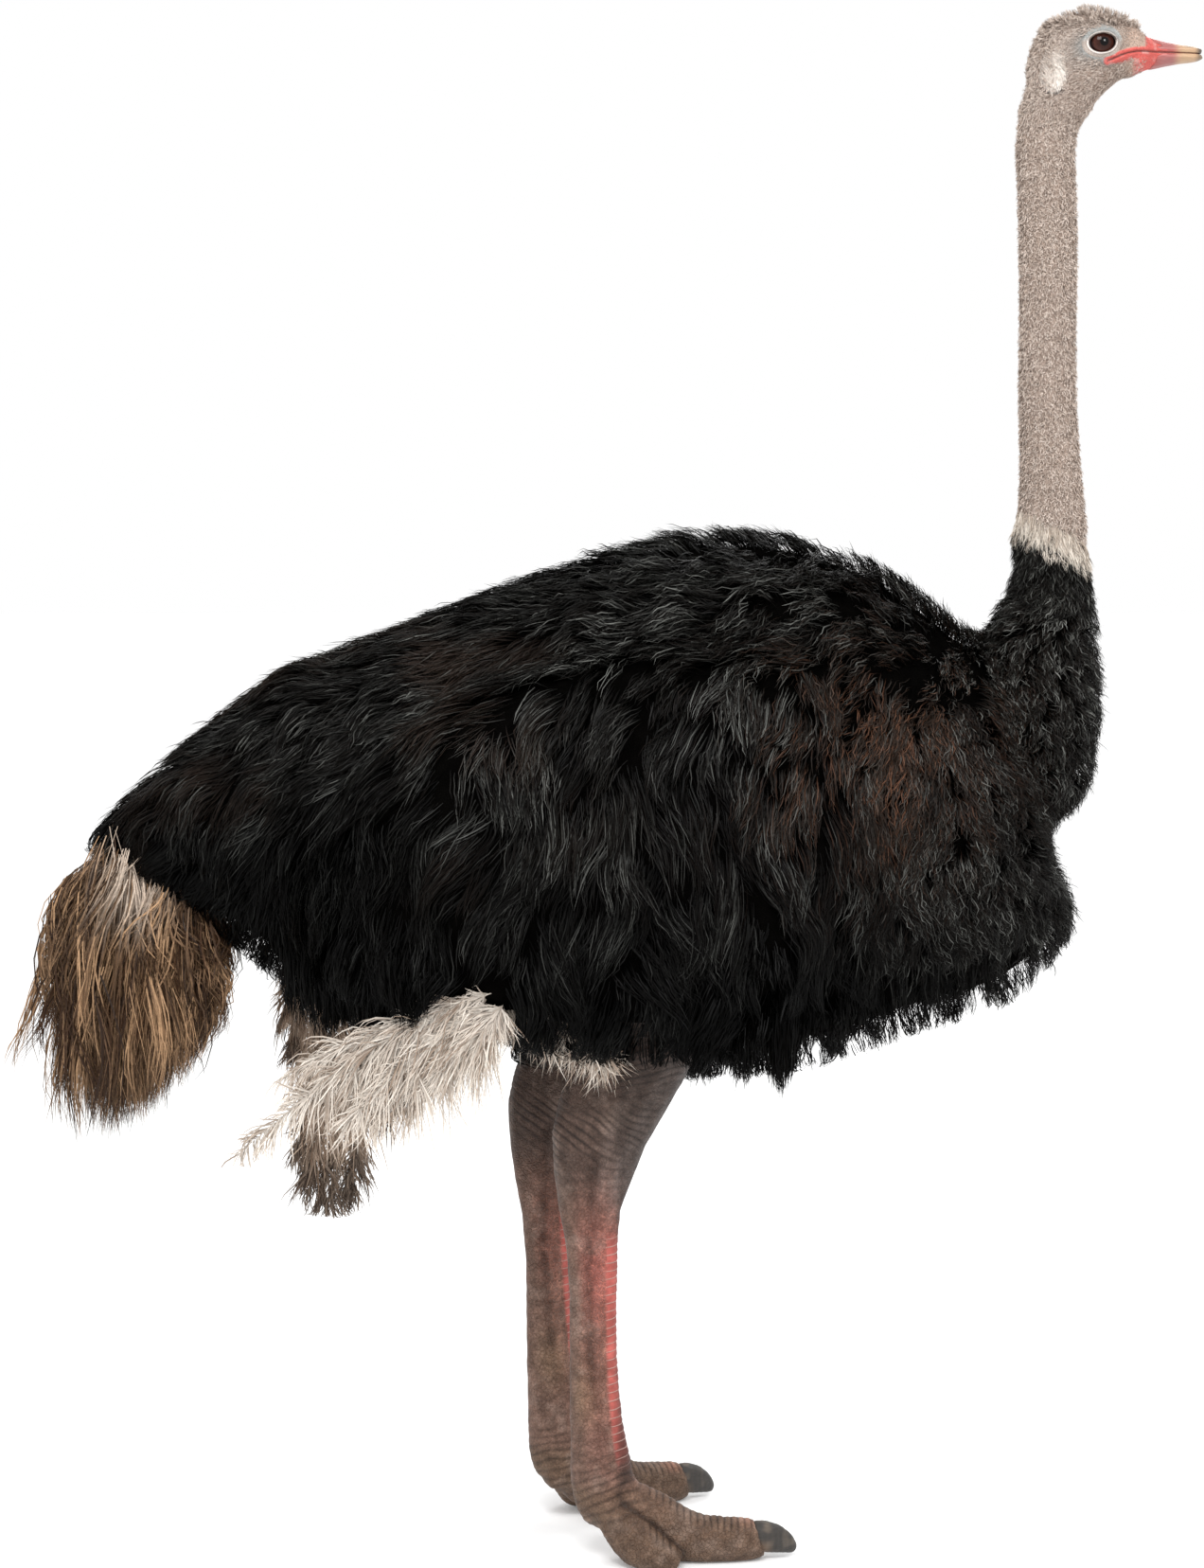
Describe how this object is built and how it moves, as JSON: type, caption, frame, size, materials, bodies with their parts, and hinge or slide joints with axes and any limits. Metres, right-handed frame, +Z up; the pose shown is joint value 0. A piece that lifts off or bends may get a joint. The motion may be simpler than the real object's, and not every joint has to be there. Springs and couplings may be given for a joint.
{
  "type": "ostrich figure",
  "caption": "Life-size standing male ostrich with a long upright neck, folded wings, drooping tail plumes and two-toed feet.",
  "frame": {"origin": "on the floor under the middle of the figure's whole length", "axes": "+X towards the bill, +Y towards the bird's left side, +Z up; the figure stands on Z = 0"},
  "size_m": [1.6737, 0.5442, 2.1575],
  "materials": {
    "black_plumage": "matt, with grey glints along the barbs",
    "white_plumes": "matt, loose barbs",
    "brown_plumes": "matt, stringy barbs, darker at the tips",
    "collar_feathers": "matt, short and fine",
    "down": "matt, short curly down over pinkish skin",
    "bill_horn": "satin horn",
    "eye_glass": "polished, opaque brown",
    "leg_skin": "matt, wrinkled and scaled",
    "claw_horn": "dull horn"
  },
  "bodies": {
    "root": {"bill_lower": "bill_horn", "bill_upper": "bill_horn", "claw_left": "claw_horn", "claw_right": "claw_horn", "ear_left": "collar_feathers", "ear_right": "collar_feathers", "eye_left": "eye_glass", "eye_right": "eye_glass", "head": "down", "neck_base": "black_plumage", "neck_collar": "collar_feathers", "neck_lower": "down", "neck_middle": "down", "neck_upper": "down", "shank_left": "leg_skin", "shank_right": "leg_skin", "tail": "brown_plumes", "tarsus_left": "leg_skin", "tarsus_right": "leg_skin", "toe_main_left": "leg_skin", "toe_main_right": "leg_skin", "toe_outer_left": "leg_skin", "toe_outer_right": "leg_skin", "trunk": "black_plumage", "wing_left": "black_plumage", "wing_plumes_left": "brown_plumes", "wing_plumes_right": "white_plumes", "wing_right": "black_plumage"}
  },
  "joints": []
}
